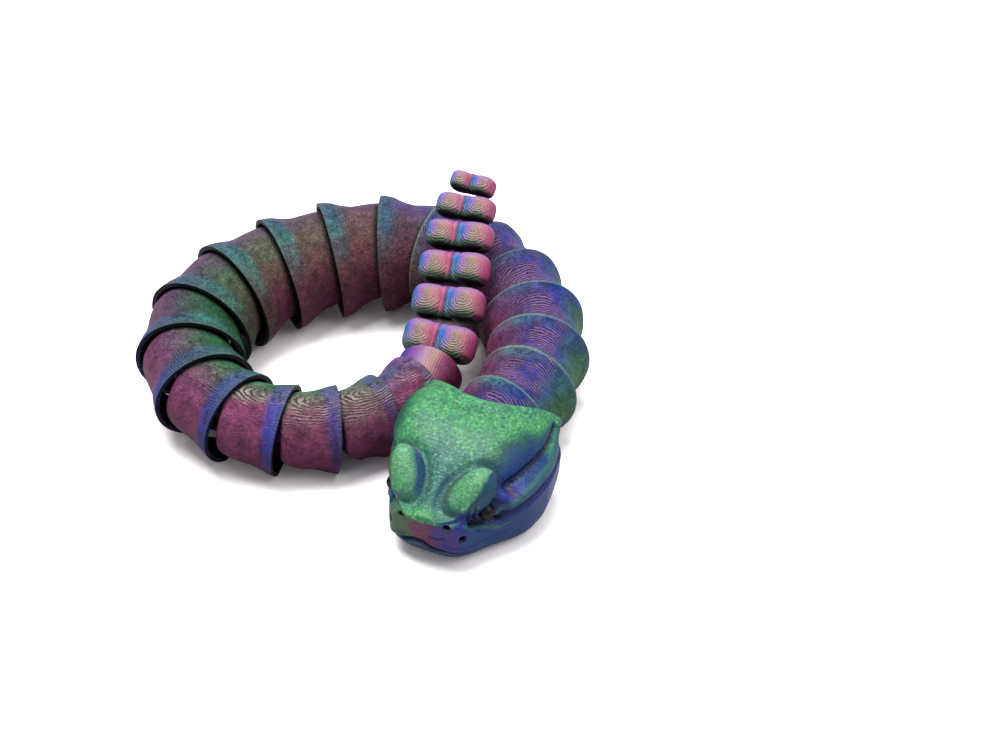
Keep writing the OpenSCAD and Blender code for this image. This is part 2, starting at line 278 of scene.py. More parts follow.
# The colours that the silk plastic shifts between; the near-black one that lies underneath the hoods is
# painted shade, and the pale tread colours are painted highlights
UNDER_SHADE, NAVY, BLUE, INDIGO = srgb(24, 26, 48), srgb(22, 58, 138), srgb(52, 64, 160), srgb(78, 72, 170)
SLATE, STEEL, TEAL, AQUA = srgb(70, 88, 132), srgb(46, 100, 138), srgb(64, 126, 120), srgb(88, 146, 158)
FERN, MOSS, OLIVE, UMBER = srgb(66, 126, 86), srgb(50, 100, 68), srgb(98, 104, 80), srgb(112, 82, 80)
PINK, ROSE, BERRY, WINE = srgb(172, 100, 166), srgb(142, 68, 108), srgb(116, 48, 86), srgb(92, 32, 60)
PLUM, LILAC, MAUVE, SAGE = srgb(78, 52, 104), srgb(138, 86, 164), srgb(98, 70, 104), srgb(104, 120, 106)
CLAY, CREAM_HIGHLIGHT, PALE_HIGHLIGHT, DARK = srgb(124, 66, 82), srgb(232, 220, 200), srgb(196, 142, 192), srgb(18, 16, 28)
GREEN, LIGHT_GREEN, DEEP_GREEN = srgb(74, 158, 98), srgb(158, 222, 156), srgb(34, 96, 78)
GOLD, HOT_PINK = srgb(206, 178, 150), srgb(206, 90, 144)
SKY, ORCHID = srgb(76, 128, 214), srgb(170, 118, 194)

# Colours round a hood, at these shares of the turn: underneath, painted near-black as shade, outer side low,
# outer side, top outer, top inner, inner side, inner side low. The keys are hoods; those between are mixed.
STOPS = (0.0, 0.17, 0.3, 0.43, 0.56, 0.7, 0.84)
BODY = {
    0: (UNDER_SHADE, FERN, FERN, BLUE, PLUM, ROSE, WINE),
    3: (UNDER_SHADE, FERN, FERN, BLUE, PLUM, ROSE, WINE),
    6: (UNDER_SHADE, STEEL, NAVY, INDIGO, MAUVE, CLAY, WINE),
    8: (UNDER_SHADE, MAUVE, PINK, MAUVE, UMBER, CLAY, BERRY),
    10: (UNDER_SHADE, MAUVE, PINK, MAUVE, OLIVE, CLAY, BERRY),
    12: (UNDER_SHADE, BERRY, ROSE, MAUVE, MOSS, MOSS, MOSS),
    15: (UNDER_SHADE, BERRY, ROSE, ROSE, FERN, MOSS, MOSS),
    17: (UNDER_SHADE, WINE, ROSE, UMBER, SAGE, TEAL, FERN),
    18: (UNDER_SHADE, WINE, BERRY, ROSE, SLATE, PINK, BERRY),
}
RIM = {
    0: (UNDER_SHADE, FERN, FERN, NAVY, TEAL, ROSE, WINE),
    3: (UNDER_SHADE, FERN, NAVY, NAVY, SLATE, ROSE, WINE),
    6: (UNDER_SHADE, STEEL, NAVY, SLATE, SLATE, UMBER, BERRY),
    9: (UNDER_SHADE, MAUVE, PLUM, SLATE, TEAL, CLAY, CLAY),
    12: (UNDER_SHADE, NAVY, BLUE, SLATE, TEAL, MOSS, MOSS),
    15: (UNDER_SHADE, PLUM, BLUE, INDIGO, SLATE, MOSS, MOSS),
    17: (UNDER_SHADE, BERRY, MAUVE, PLUM, SLATE, AQUA, TEAL),
    18: (UNDER_SHADE, BERRY, PLUM, MAUVE, LILAC, LILAC, BERRY),
}


def between(anchors, i):
    """The colours of hood i, mixed from the two nearest anchors."""
    keys = sorted(anchors)
    after = next(k for k in keys if k >= i)
    before = max(k for k in keys if k <= i)
    t = (i - before) / max(after - before, 1)
    return [lerp(p, q, t) for p, q in zip(anchors[before], anchors[after])]


def layer_lines(n, height, step, ripple):
    """Contour lines where the print's layers step on a shallow slope: 1 on a tread, 0 in a step."""
    phase = n.add(n.mul(height, 1 / step), ripple)
    return n.smooth(n.math("PINGPONG", phase, 0.5), 0.1, 0.4)


def crackle(n, spot, jitter):
    """0 in the cracks of the skin, 1 between them."""
    cells = n.tree.nodes.new("ShaderNodeTexVoronoi")
    cells.feature = "DISTANCE_TO_EDGE"
    n.put(cells.inputs["Vector"], n.vec("ADD", spot, n.vec("SCALE", jitter, 0.003)))
    cells.inputs["Scale"].default_value = 620
    return n.smooth(cells.outputs["Distance"], 0.0, 0.16)


def past_rim(n, spot, i):
    """Millimetres that a spot lies behind the plane of hood i's rim."""
    start, heading, length = hood_place(i)
    heading, tip = math.radians(heading), math.radians(FRONT_TIP)
    facing = (math.cos(heading) * math.cos(tip), math.sin(heading) * math.cos(tip), -math.sin(tip))
    rim = start * (1, 1, 0) + np.array([math.cos(heading), math.sin(heading), 0]) * (length - RIM_LEAD)
    rim[2] = axis_z(i)
    return n.mul(n.dot(n.vec("SUBTRACT", spot, tuple(rim * MM)), facing), 1 / MM)


def hood_material(i):
    n = Nodes("silk_%02d" % (i + 1))
    neck, middle, rear = i < 7, 6 < i < 15, i > 11
    start, heading, length = hood_place(i)
    spot = n.coord.outputs["Object"]
    (px, py, pz), (nx, ny, nz) = n.own_frame(start, heading)
    up = n.sub(pz, axis_z(i))
    # colours round the hood, another set towards its rim
    soft = n.around(n.vec("MULTIPLY", spot, (1, 1, 3)), 160, 3, 0.6)
    finer = n.around(spot, 500, 2, 0.6)
    t = n.add(n.scaled(n.math("ARCTAN2", py, up), 0.5 / math.pi, 0.5), n.mul(soft, 0.12))
    body = n.ramp(t, list(zip(STOPS, between(BODY, i))))
    rim = n.ramp(t, list(zip(STOPS, between(RIM, i))))
    band = n.smooth(n.add(px, n.mul(soft, 3.0)), 0.46 * length, 0.7 * length)
    color = n.mix(band, body, rim)
    # the skin's grain and cracks
    crack = crackle(n, spot, n.join(soft, finer, soft))
    streak = n.around(n.vec("MULTIPLY", spot, (1, 1, 9)), 700, 3, 0.7)
    grain = n.around(spot, 1500, 2, 0.6)
    blotch = n.around(spot, 330, 3, 0.6)
    light = n.mul(n.scaled(streak, 1.3, 1.0), n.scaled(grain, 1.6, 0.97))
    color = n.shade(color, n.mul(light, n.scaled(blotch, 2.0, 0.95)))
    color = n.shade(color, n.scaled(n.sub(crack, 0.8), 0.3 if middle else 0.15, 1.0))
    # contour lines of the layers, painted dark as shade in each step and pale as highlight on each tread:
    # across the neck's hoods, closing round the crest of the others
    drop = n.math("MAXIMUM", n.sub(2 * girth(i) - FLAT_CUT, pz), 0.0)
    lengthwise, crosswise = (0.45, 1.0) if rear else (1.0, 0.42)
    along = n.mul(n.sub(px, 0.66 * length), lengthwise)
    from_crest = n.size(n.join(along, n.mul(py, crosswise), 0.0))
    if neck:
        phase = n.mul(n.add(px, n.mul(py, n.mul(py, 0.03))), -1 / 0.82)
    else:
        phase = n.add(n.mul(from_crest, 1 / 0.78), n.mul(drop, 0.5))
    line = layer_lines(n, phase, 1.0, n.around(spot, 420, 3, 0.6, 2.2))
    flat = n.mul(n.smooth(nz, 0.6, 0.92), n.smooth(n.noise(spot, 170, 2), 0.36, 0.6))
    if rear:
        flat = n.mul(flat, n.smooth(py, 3.0, -0.5, 0.2, 1.0))
    flat = n.mul(flat, n.smooth(from_crest, 1.6, 3.6, 0.3, 1.0))
    if middle:
        flat = n.mul(flat, n.smooth(px, 0.3 * length, 0.55 * length, 0.1, 0.35 if i < 11 else 1.0))
        tread = lerp(AQUA, MAUVE, 0.4)
    else:
        tread = PALE_HIGHLIGHT if neck else n.mix(n.smooth(t, 0.3, 0.55), PALE_HIGHLIGHT, CREAM_HIGHLIGHT)
    lines_shade_and_highlight = n.mix(line, n.mix(0.75, color, DARK), n.mix(0.55, color, tread))
    color = n.mix(n.mul(flat, 0.85), color, lines_shade_and_highlight)
    # dark flecks on the crest
    fleck = n.smooth(n.noise(spot, 620, 2, 0.6), 0.5, 0.6)
    crown = n.mul(n.mul(n.smooth(from_crest, 5.0, 2.0), n.smooth(nz, 0.9, 0.98)), fleck)
    color = n.mix(n.mul(crown, 0.6), color, DARK)
    # a thin painted highlight along the rim's edge
    rim_at = length - RIM_LEAD
    edge = n.mul(n.smooth(px, rim_at - 0.5, rim_at - 0.2), n.smooth(nz, -0.3, 0.3))
    rim_highlight = n.mix(0.4, LIGHT_GREEN, color) if neck else n.mix(0.5, SAGE, color)
    color = n.mix(n.mul(edge, 0.4 if neck else 0.35), color, rim_highlight)
    # painted shade under the rim ahead, inside the hood and on the rim's end
    if i > 0:
        color = n.shade(color, n.smooth(past_rim(n, spot, i - 1), 0.0, 2.0, 0.03, 1.0))
    outward = n.add(n.mul(ny, py), n.mul(nz, up))
    color = n.shade(color, n.smooth(outward, -3.0, 0.5, 0.1, 1.0))
    color = n.shade(color, n.smooth(nx, 0.5, 0.85, 1.0, 0.3))
    relief = n.add(n.mul(grain, 0.8), n.add(n.mul(streak, 0.7), n.mul(blotch, 1.2)))
    normal = n.bump(n.mul(crack, 0.4 if middle else 0.15), 0.6, 0.0004)
    normal = n.bump(relief, 0.8, 0.0006, normal)
    normal = n.bump(n.mul(line, flat), 0.7, 0.0003, normal)
    return n.done(color, rough=0.45, normal=normal, spec=0.14)


for i in range(HOOD_COUNT):
    o = frame["nodes"][hood_name(i)]
    o.data.materials.clear()
    o.data.materials.append(hood_material(i))


def grid_mesh(rows):
    """Points and faces of a skin through rows of points that run round a piece."""
    count, around = len(rows), rows[0].shape[0]
    verts = np.concatenate(rows)
    k = np.arange(around)
    after = (k + 1) % around
    faces = []
    for j in range(count - 1):
        a, b = j * around, (j + 1) * around
        faces += np.stack([a + k, b + k, b + after, a + after], 1).tolist()
    return verts, faces


def add_mesh(name, parts, material):
    """One smooth object from parts, each its points in millimetres and its faces."""
    verts, faces, base = [], [], 0
    for v, f in parts:
        verts.append(v)
        faces += [[base + c for c in face] for face in f]
        base += len(v)
    mesh = bpy.data.meshes.new(name)
    mesh.from_pydata((np.concatenate(verts) * MM).tolist(), [], faces)
    mesh.update()
    mesh.polygons.foreach_set("use_smooth", [True] * len(mesh.polygons))
    obj = bpy.data.objects.new(name, mesh)
    bpy.context.scene.collection.objects.link(obj)
    mesh.materials.append(material)
    return obj


def ease(t):
    return t * t * (3 - 2 * t)


def fade(v, a, b):
    """0 at a, 1 at b, smooth between; a may be above b."""
    return ease(np.clip((v - a) / (b - a), 0, 1))


def power(v, e):
    """A power that keeps the sign."""
    return np.sign(v) * np.abs(v) ** e


def full_turn(count):
    """Angles round a squarish ring, packed closer where its sides are flat."""
    q = np.arange(count) / count * 4
    t = q - np.floor(q)
    packed = t ** 2.2 / (t ** 2.2 + (1 - t) ** 2.2)
    return (np.floor(q) + packed) * np.pi / 2


# Head: the CAD's loft at a finer pitch, with the face worked into it. Its own frame starts at
# the neck's hinge: millimetres ahead of it, to its side and above the floor.
SNOUT, CHEEK, CROWN, NAPE, TUCK = 34.4, 20.6, 27.4, 10.5, 0.17
LAST_RING = 0.985
AROUND, SKIN_RINGS, TIP_RINGS, ROOM_RINGS = 560, 420, 70, 30
# The neck hollow: the wall at its sides, its floor's height, how far its top is under the crown's, its depth
ROOM_WALL, ROOM_FLOOR, ROOM_DROP, ROOM_DEPTH = 1.8, 1.8, 2.34, 10


def ring_points(x, half, top, low, a, back, tuck):
    """A ring at x, with its half width, top and low edge; back sweeps its sides to the rear."""
    cosine = np.where(np.sin(a) > 0, power(np.cos(a), 0.66), power(np.cos(a), 0.6))
    sine = power(np.sin(a), 0.66)
    mid = low + (top - low) * 0.42
    slim = 1 - tuck * ease(np.clip((0.5 - np.sin(a)) / 0.5, 0, 1))
    s = x - back * cosine ** 2 * (0.56 + 0.38 * sine)
    z = mid + sine * np.where(sine > 0, top - mid, mid - low)
    return np.stack([s, half * cosine * slim, z], 1)


def head_ring(u, a):
    half = CHEEK * (1 - 0.02 * u - 0.46 * ease(min(u / 0.95, 1) ** 1.4)) * (1 - u ** 16) ** 0.5
    top = CROWN + (0.6 - 1) * CROWN * ease(max(u - 0.22, 0) / 0.78) - 0.9 * (1 - u) ** 3
    low = 5.5 * (max(u - 0.62, 0) / 0.38) ** 3
    x = -1 + (SNOUT + 1) * (1 - (1 - u) ** 1.25)
    return ring_points(x, half, top, low, a, NAPE * (1 - u) ** 2.2, TUCK * max(0, 1 - u / 0.3))


def room_ring(v, a):
    """The neck hollow; v runs from 0 at its mouth to 1 at its end."""
    x = -1 + ROOM_DEPTH * v
    half = (CHEEK - ROOM_WALL) * (1 - 0.3 * v * v)
    return ring_points(x, half, CROWN - ROOM_DROP, ROOM_FLOOR, a, NAPE * (1 - v), TUCK)


def even(ring_of, count):
    """A ring's points spaced evenly along it."""
    fine = ring_of(full_turn(4000))
    loop = np.vstack([fine, fine[:1]])
    run = np.concatenate([[0], np.cumsum(np.linalg.norm(np.diff(loop, axis=0), axis=1))])
    at = np.arange(count) / count * run[-1]
    return np.stack([np.interp(at, run, loop[:, c]) for c in range(3)], 1)


def head_rows():
    """The head's rings from nape to snout, then smaller ones that close the snout."""
    rows = [even(lambda a, u=u: head_ring(u, a), AROUND) for u in np.linspace(0, 1, SKIN_RINGS) * LAST_RING]
    last = rows[-1]
    middle = np.array([SNOUT + 0.1, 0, (last[:, 2].min() + last[:, 2].max()) / 2])
    for f in np.linspace(1, 0.004, TIP_RINGS)[1:]:
        row = middle + (last - middle) * f
        row[:, 0] = SNOUT + 0.1 - (SNOUT + 0.1 - last[:, 0]) * f * f
        rows.append(row)
    return rows


def grid_normals(points):
    """Outward directions of a grid of points, rows by columns."""
    along = np.gradient(points, axis=0)
    round_ring = (np.roll(points, -1, 1) - np.roll(points, 1, 1)) / 2
    n = np.cross(round_ring, along)
    return n / np.maximum(np.linalg.norm(n, axis=2, keepdims=True), 1e-9)


def near(points, path, reach):
    """Distance from each point to a path drawn near the surface, no more than reach."""
    flat = points.reshape(-1, 3)
    path = np.array(path, float)
    steps = [np.linspace(a, b, 24)[:-1] for a, b in zip(path[:-1], path[1:])]
    dense = np.concatenate(steps + [path[-1:]])
    low, high = dense.min(0) - 4, dense.max(0) + 4
    box = np.where(((flat > low) & (flat < high)).all(1))[0]
    close = flat[box]
    best = np.full(len(close), reach * reach)
    for q in dense:
        on_skin = close[np.argmin(((close - q) ** 2).sum(1))]
        best = np.minimum(best, ((close - on_skin) ** 2).sum(1))
    out = np.full(len(flat), float(reach))
    out[box] = np.sqrt(best)
    return out.reshape(points.shape[:2])


def stroke(points, path, width):
    """1 on the path, falling to 0 at width from it."""
    return ease(1 - near(points, path, width) / width)


# The face: the brows' middle, turn and half sizes, and the paths of ridges, grooves and folds
BROW_MIDDLE, BROW_WAY, BROW_LONG, BROW_WIDE, BROW_HEIGHT = (25.2, 8.3), 142, 7.2, 4.3, 4.9
EYE, EYE_RADIUS = np.array([24.3, 12.5, 14.6]), 2.1
JAW_RIDGE = [
    (22.6, 14.6, 13.2), (20.9, 15.5, 14.6), (17.2, 17, 15.6), (15.1, 17.5, 16.4), (10.5, 18.7, 17),
    (3.9, 19.2, 17), (-2, 18.8, 18.2), (-7, 17.8, 20.4),
]
UPPER_GROOVE = [
    (18.4, 15.2, 18.4), (16.5, 15.9, 19.1), (12.6, 17.4, 19.5), (7.6, 18.5, 19.7), (3, 19, 19.6),
    (-0.8, 19.1, 20), (-4.6, 18.6, 20.8),
]
LOWER_GROOVE = [
    (22, 15.3, 11.6), (17.7, 17, 13.1), (13.4, 18.4, 14.2), (9.2, 19.3, 14.8), (3.9, 19.6, 14.8),
    (-2, 19.3, 15.8), (-6.6, 18.4, 18),
]
LOWER_LID = [(31.1, 9.7, 14.2), (29.3, 11.5, 12.6), (26.3, 13.3, 10.6), (23.2, 14.9, 9.4), (20.6, 16, 10.2)]
UNDER_LID = [(30, 11.2, 14.2), (27.6, 12.8, 12.6), (25, 14, 11.6), (22.6, 15.1, 11.6)]
FRONT_FOLD = [(29.6, 9.6, 16.4), (29.4, 10.6, 14.6), (28.4, 11.8, 13)]
SECOND_FOLD = [(28.2, 10.6, 16.6), (28, 11.6, 14.8), (27.4, 12.4, 13.4)]
CHEEK_PIT = [(18.2, 16.2, 17.0)] * 2
NOSTRIL, HEAT_PIT = [(33.7, 6.3, 14.5)] * 2, [(32.2, 9.9, 10.8)] * 2
NOSE_EDGE = [(29.6, 8.4, 16.6), (31.6, 7.4, 16.2), (33.6, 4.6, 15.8), (34.4, 2.2, 15.4), (34.5, 0, 15.2)]
MOUTH = [
    (31, 11.2, 5.4), (32.8, 9, 5.8), (34, 5.9, 6.4), (34.3, 2.5, 6.8), (34.4, -0.2, 7.8),
    (34.3, -2.9, 7.8), (34.1, -5.3, 7.0), (32.6, -9, 5.8),
]
LIP_CUT = [(34.4, 1.6, 10.1), (34.3, 3.7, 9.9), (34.1, 5.7, 10.9)]
VALLEY = [(31, 4.2, 17.6), (28, 3.6, 19.4), (24.5, 3.8, 21.2), (20.5, 4.6, 23)]
RIDGE = [(33.6, 0, 16.2), (30, 0, 18.2), (26, 0, 20.6), (21.5, 0, 23)]
LIP_LINE = [(33.6, 5.6, 8.4), (31.6, 10.4, 7.6), (27, 13.4, 6.8), (21, 16, 7)]


def brow_reach(points):
    """Elliptical distance from a brow's middle, seen from above: 1 at its edge."""
    t = math.radians(BROW_WAY)
    ds, dy = points[..., 0] - BROW_MIDDLE[0], np.abs(points[..., 1]) - BROW_MIDDLE[1]
    long, wide = ds * math.cos(t) + dy * math.sin(t), -ds * math.sin(t) + dy * math.cos(t)
    return np.hypot(long / BROW_LONG, wide / BROW_WIDE)


def sculpt(points):
    """Moves a grid of head points to form the brows, eyes, lids, pits, grooves and mouth."""
    normal = grid_normals(points)
    mirror = points * (1, 0, 1) + np.abs(points) * (0, 1, 0)
    s, y, z = mirror[..., 0], mirror[..., 1], mirror[..., 2]
    right = points[..., 1]
    # depth is how far a point moves outward; below nought it sinks
    depth = np.zeros(s.shape)
    # brows stand up and outward, with a steep outer edge
    q = brow_reach(points)
    high = fade(z, 12.5, 16)
    dome = fade(q, 1.05, 0.88) * (0.12 + 0.88 * np.clip(1 - q * q, 0, 1) ** 0.62) * high
    moat = fade(q, 1.5, 1.1) * (1 - dome) * fade(z, 13, 17)
    depth -= 0.45 * moat
    # the sunk side of the face round the eye
    socket = np.hypot((s - 25) / 5.2, (z - 13.9) / 4.4)
    hollow = fade(socket, 1.05, 0.7) * fade(y, 7.5, 9.5) * (1 - dome)
    depth -= 1.5 * hollow
    back = np.hypot((s - 17.5) / 3.2, (z - 18.6) / 2.2)
    depth -= 0.8 * fade(back, 1.1, 0.3) * fade(y, 8, 11) * (1 - dome)
    ridge, lid = stroke(mirror, JAW_RIDGE, 1.5), stroke(mirror, LOWER_LID, 0.8)
    grooves = np.maximum(stroke(mirror, UPPER_GROOVE, 1.5), 0.9 * stroke(mirror, LOWER_GROOVE, 1.3))
    folds = np.maximum(stroke(mirror, UNDER_LID, 1.1), 0.8 * stroke(mirror, FRONT_FOLD, 0.7))
    folds = np.maximum(folds, 0.7 * stroke(mirror, SECOND_FOLD, 0.6))
    holes = np.maximum(stroke(mirror, NOSTRIL, 1.2), stroke(mirror, HEAT_PIT, 1.35))
    cheek_pit = stroke(mirror, CHEEK_PIT, 2.0)
    depth += 0.6 * ridge - 1.0 * grooves + 0.4 * lid - 0.7 * folds - 0.7 * cheek_pit - 2.0 * holes
    # the cheek on the open side of the coil is fuller
    cheek = fade(right, 8, 14) * fade(z, 20, 15) * fade(s, -9, -1) * fade(s, 27, 13)
    depth += 3.2 * cheek * fade(z, 0.4, 3.5)
    # the nose's edge, the forehead's ridge and valleys, the mouth and the lips
    depth += 0.5 * stroke(mirror, NOSE_EDGE, 1.1)
    depth -= 0.45 * fade(s, 33, 34.2) * fade(z, 15.4, 14.2) * fade(z, 7.5, 9)
    depth -= 0.3 * stroke(mirror, VALLEY, 3.4)
    depth += 0.55 * stroke(mirror, RIDGE, 3.0)
    mouth = stroke(points, MOUTH, 0.9)
    depth -= 1.0 * mouth
    depth -= 0.3 * stroke(points, LIP_CUT, 0.45)
    depth -= 0.25 * stroke(mirror, LIP_LINE, 0.6)
    depth -= 0.7 * fade(s, 24, 31) * fade(z, 6.4, 5.2)
    # the crown is fuller on the side where the tail lies
    depth += 1.9 * fade(right, -4, -14) * fade(z, 16.5, 21) * fade(s, -6, 2) * fade(s, 24, 12)
    rise = np.array([0.06, 0, 0.85]) + np.sign(right)[..., None] * np.array([0, 0.6, 0])
    masks = {
        "brow": dome, "moat": moat, "ridge": np.maximum(ridge, lid), "groove": grooves, "fold": folds,
        "hole": holes, "cheek_pit": cheek_pit, "mouth": mouth,
    }
    moved = points + normal * depth[..., None] + rise * (BROW_HEIGHT * dome)[..., None]
    # the head keeps resting on its flat underside
    moved[..., 2] = np.maximum(moved[..., 2], 0)
    return moved, masks


def head_frame(points):
    """From millimetres in the head's own frame to the row frame."""
    t = math.radians(HEAD_HEADING)
    x, y, z = points[:, 0], points[:, 1], points[:, 2]
    start = hinge(hood_name(0))
    east = start[0] + x * math.cos(t) - y * math.sin(t)
    north = start[1] + x * math.sin(t) + y * math.cos(t)
    return np.stack([east, north, z], 1)


def neck_eye():
    """The eye of the neck hinge, and the tongue that carries it."""
    outside, bore, low, high, count = 4.58, 2.48, 8.5, 15.5, 64
    rings = []
    turn = np.arange(count) / count * 2 * math.pi
    for r, z in ((outside, low), (outside, high), (bore, high), (bore, low), (outside, low)):
        rings.append(np.stack([r * np.cos(turn), r * np.sin(turn), np.full(count, z)], 1))
    verts, faces = grid_mesh(rings)
    corners = np.array([(x, y, z) for x in (4, 11) for y in (-2.5, 2.5) for z in (low, high)], float)
    sides = [(0, 1, 3, 2), (4, 6, 7, 5), (0, 4, 5, 1), (2, 3, 7, 6), (0, 2, 6, 4), (1, 5, 7, 3)]
    return (head_frame(verts), faces), (head_frame(corners), [list(f) for f in sides])


def head_material():
    n = Nodes("silk_head")
    spot = n.coord.outputs["Object"]
    (s, y, z), (ns, ny, nz) = n.own_frame(hinge(hood_name(0)), HEAD_HEADING)
    cloud = n.around(spot, 110, 3, 0.6)
    grain = n.around(spot, 1300, 3, 0.7)
    speck = n.noise(spot, 1250, 3, 0.65)
    streak = n.around(n.vec("MULTIPLY", spot, (1, 1, 8)), 500, 3, 0.7)
    brow = n.mask("brow")
    off_brow = n.smooth(brow, 0.5, 0.1)
    # green above, bluer in the valleys, lighter on the brows
    valley = n.mul(n.smooth(n.add(cloud, n.mul(s, 0.03)), 0.32, 0.72), n.smooth(s, 33, 30))
    patch = n.smooth(n.around(spot, 230, 3, 0.6), -0.06, 0.1)
    green = n.mix(n.mul(valley, 0.75), GREEN, n.mix(0.5, SLATE, TEAL))
    green = n.mix(n.mul(patch, 0.6), green, n.mix(0.4, TEAL, DEEP_GREEN))
    green = n.mix(n.mul(n.smooth(speck, 0.52, 0.7), 0.5), green, LIGHT_GREEN)
    green = n.mix(n.mul(n.smooth(speck, 0.47, 0.34), 0.6), green, DEEP_GREEN)
    ring = n.mix(n.smooth(y, -1.5, 1.5), n.mix(0.3, TEAL, DEEP_GREEN), n.mix(0.6, SLATE, TEAL))
    green = n.mix(n.mul(n.mask("moat"), 0.35), green, ring)
    domed = n.mix(n.smooth(speck, 0.3, 0.7), lerp(GREEN, TEAL, 0.3), lerp(GREEN, LIGHT_GREEN, 0.4))
    green = n.mix(n.mul(n.smooth(brow, 0.3, 0.7), 0.85), green, domed)
    # navy on the right side of the face, with painted shade behind the brow
    side = n.add(ny, n.mul(cloud, 0.3))
    flank = n.mix(n.smooth(z, 19.5, 15), n.mix(0.45, DEEP_GREEN, NAVY), NAVY)
    turned = n.smooth(side, n.smooth(s, 6, 24, 0.62, 0.42), n.smooth(s, 6, 24, 0.86, 0.66))
    color = n.mix(turned, green, flank)
    outer = n.add(n.add(n.mul(s, 0.35), n.mul(y, 0.936)), n.mul(cloud, 9.0))
    behind_brow = n.mul(n.mul(n.smooth(outer, 13.0, 17.0), n.smooth(s, 0, 6)), n.smooth(z, 15, 18))
    shady = n.shade(n.mix(n.smooth(outer, 15.0, 19.5), DEEP_GREEN, NAVY), 0.8)
    color = n.mix(n.mul(behind_brow, n.mul(off_brow, 0.9)), color, shady)
    below_brow = n.mul(n.smooth(z, 19.6, 18.0), n.smooth(s, 12, 16))
    face_side = n.mul(below_brow, n.mul(n.smooth(y, 7.5, 9.0), off_brow))
    color = n.mix(face_side, color, lerp(NAVY, BLUE, 0.3))
    below_crown = n.smooth(n.add(z, n.mul(s, 0.12)), 20.2, 18.4)
    cheek_side = n.mul(n.mul(below_crown, n.smooth(y, 12, 15)), n.smooth(nz, 0.9, 0.6))
    color = n.mix(cheek_side, color, lerp(NAVY, BLUE, 0.3))
    # the left side and the jaw
    left = n.smooth(n.mul(side, -1.0), 0.45, 0.8)
    color = n.mix(left, color, n.mix(n.smooth(s, 18, 30), DEEP_GREEN, OLIVE))
    color = n.mix(n.smooth(z, 13.8, 12.2), color, lerp(NAVY, TEAL, 0.15))
    # the front of the face runs from olive through red to violet
    low_front = n.mul(n.smooth(n.add(ns, n.mul(cloud, 0.3)), 0.55, 0.9), n.smooth(z, 15.6, 14.4))
    drift = n.add(y, n.add(n.mul(cloud, 14.0), n.mul(speck, 5.0)))
    red = n.mix(n.smooth(streak, -0.1, 0.12), BERRY, ROSE)
    face = n.mix(n.smooth(drift, -3.5, 1.5), n.mix(0.5, OLIVE, FERN), red)
    face = n.mix(n.smooth(drift, 4.0, 8.5), face, n.mix(0.3, BLUE, BERRY))
    color = n.mix(low_front, color, face)
    jaw = n.mul(n.smooth(z, 7.4, 6.2), n.smooth(s, 24, 30))
    color = n.mix(n.mul(jaw, n.smooth(y, 9, 5)), color, n.mix(0.5, DEEP_GREEN, NAVY))
    rear = n.smooth(n.mul(ns, -1.0), 0.1, 0.55)
    color = n.mix(n.mul(n.mul(rear, n.smooth(s, 12, 18)), 0.6), color, n.mix(0.5, SLATE, LILAC))
    # colour on the ridges and the cheek pit, and painted shade in the grooves, the mouth, the folds and the
    # nostrils and heat pits
    color = n.mix(n.mul(n.smooth(n.mask("ridge"), 0.25, 0.8), 0.85), color, n.mix(0.35, FERN, NAVY))
    color = n.mix(n.mul(n.mask("groove"), 0.85), color, n.mix(0.6, NAVY, DARK))
    color = n.mix(n.mul(n.mask("cheek_pit"), 0.7), color, WINE)
    color = n.mix(n.mul(n.smooth(n.mask("mouth"), 0.2, 0.8), 0.85), color, DARK)
    color = n.mix(n.math("MAXIMUM", n.mask("fold"), n.mask("hole")), color, DARK)
    # painted shade where the head's surface is hollow, from ambient occlusion
    ao = n.tree.nodes.new("ShaderNodeAmbientOcclusion")
    ao.samples = 8
    ao.inputs["Distance"].default_value = 0.0026
    color = n.shade(color, n.smooth(ao.outputs["AO"], 0.35, 0.9, 0.12, 1.0))
    color = n.shade(color, n.scaled(n.mul(grain, n.smooth(nz, 0.2, 0.6, 0.35, 1.0)), 1.5, 1.0))
    # layer lines on upward faces: painted shade in each step and painted highlight on each tread
    line = layer_lines(n, z, 0.4, n.around(spot, 300, 2, 0.5, 1.2))
    color = n.shade(color, n.scaled(n.mul(n.sub(line, 0.5), n.smooth(nz, 0.3, 0.8)), 0.22, 1.0))
    normal = n.bump(n.add(grain, n.mul(streak, 0.4)), 0.55, 0.00035)
    return n.done(color, rough=0.33, normal=normal, spec=0.24)


def eye_material():
    n = Nodes("silk_eye")
    spot = n.coord.outputs["Object"]
    color = n.mix(n.smooth(n.noise(spot, 1400, 2), 0.4, 0.62), srgb(6, 3, 9), srgb(30, 10, 28))
    return n.done(color, rough=0.35, spec=0.25)


# The head's shell: the neck hollow from its end to its mouth, then the skin from nape to snout
skin, masks = sculpt(np.stack(head_rows()))
room = [even(lambda a, v=v: room_ring(v, a), AROUND) for v in np.linspace(1, 0, ROOM_RINGS)]
verts, faces = grid_mesh(room + list(skin))
count = len(verts)
verts = np.vstack([verts, [[9.6, 0, CROWN / 2]], [skin[-1].mean(0)]])
k = np.arange(AROUND)
after = (k + 1) % AROUND
faces += np.stack([np.full(AROUND, count), k, after], 1).tolist()
faces += np.stack([count - AROUND + k, np.full(AROUND, count + 1), count - AROUND + after], 1).tolist()
head = add_mesh("head_shell", [(head_frame(verts), faces), *neck_eye()], head_material())
for label, mask in masks.items():
    values = np.zeros(len(head.data.vertices))
    values[ROOM_RINGS * AROUND:ROOM_RINGS * AROUND + mask.size] = mask.ravel()
    head.data.attributes.new(label, "FLOAT", "POINT").data.foreach_set("value", values)
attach(head, "head")
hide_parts("head")
eye_skin = eye_material()
